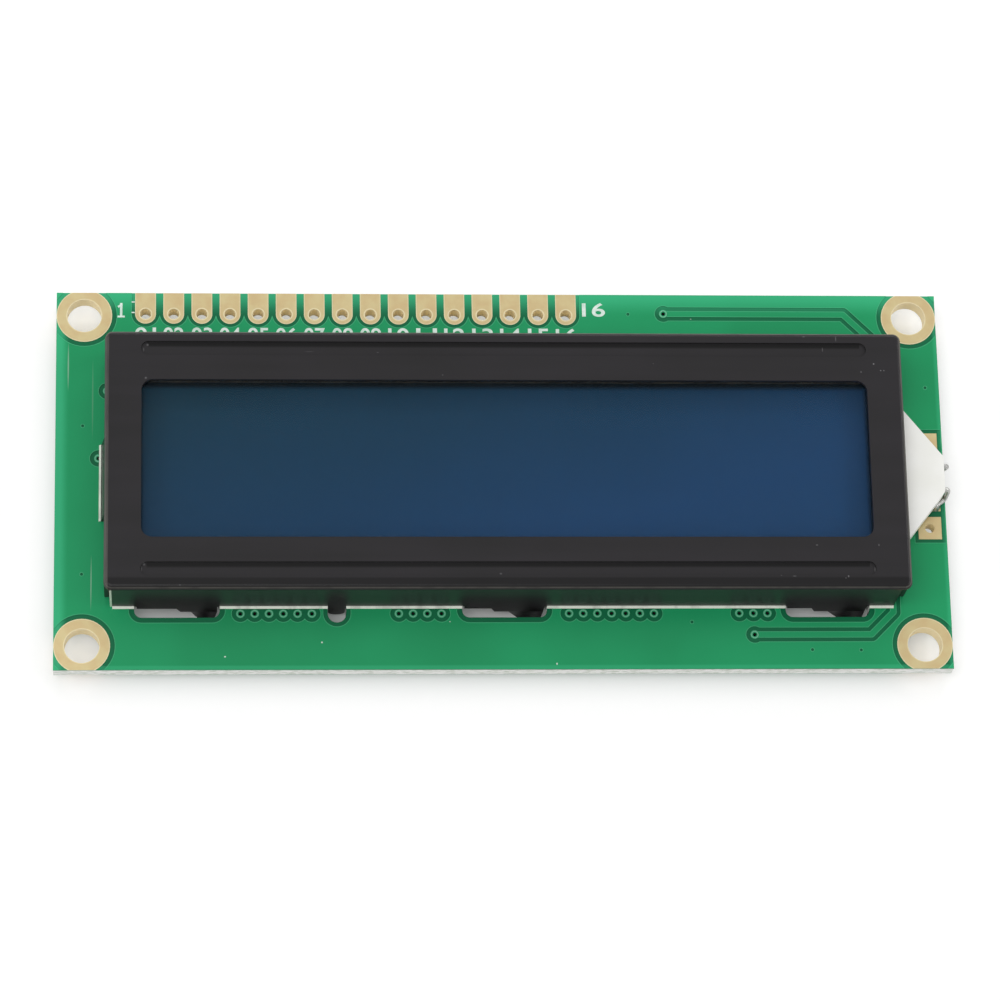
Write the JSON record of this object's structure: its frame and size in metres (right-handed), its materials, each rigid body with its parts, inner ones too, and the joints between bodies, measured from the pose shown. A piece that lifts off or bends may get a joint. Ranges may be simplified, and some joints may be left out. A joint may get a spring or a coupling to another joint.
{
  "type": "character lcd module",
  "caption": "Two-line character display module: blue liquid crystal cell under a black steel bezel on a green circuit board with a row of solder pads and plated corner holes.",
  "frame": {"origin": "centre of the four mounting holes, on the circuit board's back face", "axes": "+X along the board away from pin 1, +Y towards the row of header pads, +Z out of the display towards the viewer"},
  "size_m": [0.0803, 0.0354, 0.0085],
  "materials": {
    "board": "green solder mask over glass-fibre laminate",
    "gold": "thin gold over copper",
    "bezel_paint": "black semi-gloss paint on steel, bare where it was cut",
    "polarizer": "smooth film",
    "cell_glass": "clear float glass",
    "crystal": "blue liquid crystal layer",
    "seal": "cured epoxy",
    "zebra_rubber": "layered silicone rubber",
    "white_plastic": "white moulded plastic",
    "light_guide": "clear acrylic",
    "film": "white film",
    "led_resin": "moulded resin",
    "tin": "tinned wire and solder",
    "epoxy": "black epoxy dome",
    "resistor": "black coat with tinned ends",
    "capacitor": "tan ceramic with tinned ends",
    "silkscreen": "white printed ink"
  },
  "bodies": {
    "root": {"circuit_board": "board", "mounting_hole_rings": "gold", "header_pads": "gold", "backlight_pads": "gold", "contact_fingers": "gold", "bezel": "bezel_paint", "front_polarizer": "polarizer", "front_glass": "cell_glass", "cell_seal": "seal", "liquid_crystal": "crystal", "rear_glass": "cell_glass", "rear_polarizer": "polarizer", "zebra_strip_upper": "zebra_rubber", "zebra_strip_lower": "zebra_rubber", "backlight_frame": "white_plastic", "reflector_sheet": "film", "light_guide": "light_guide", "diffuser_sheet": "film", "led_package": "led_resin", "led_lead_anode": "tin", "led_lead_cathode": "tin", "solder_joints": "tin", "controller_blob": "epoxy", "driver_blob": "epoxy", "chip_resistors": "resistor", "chip_capacitors": "capacitor"}
  },
  "joints": []
}
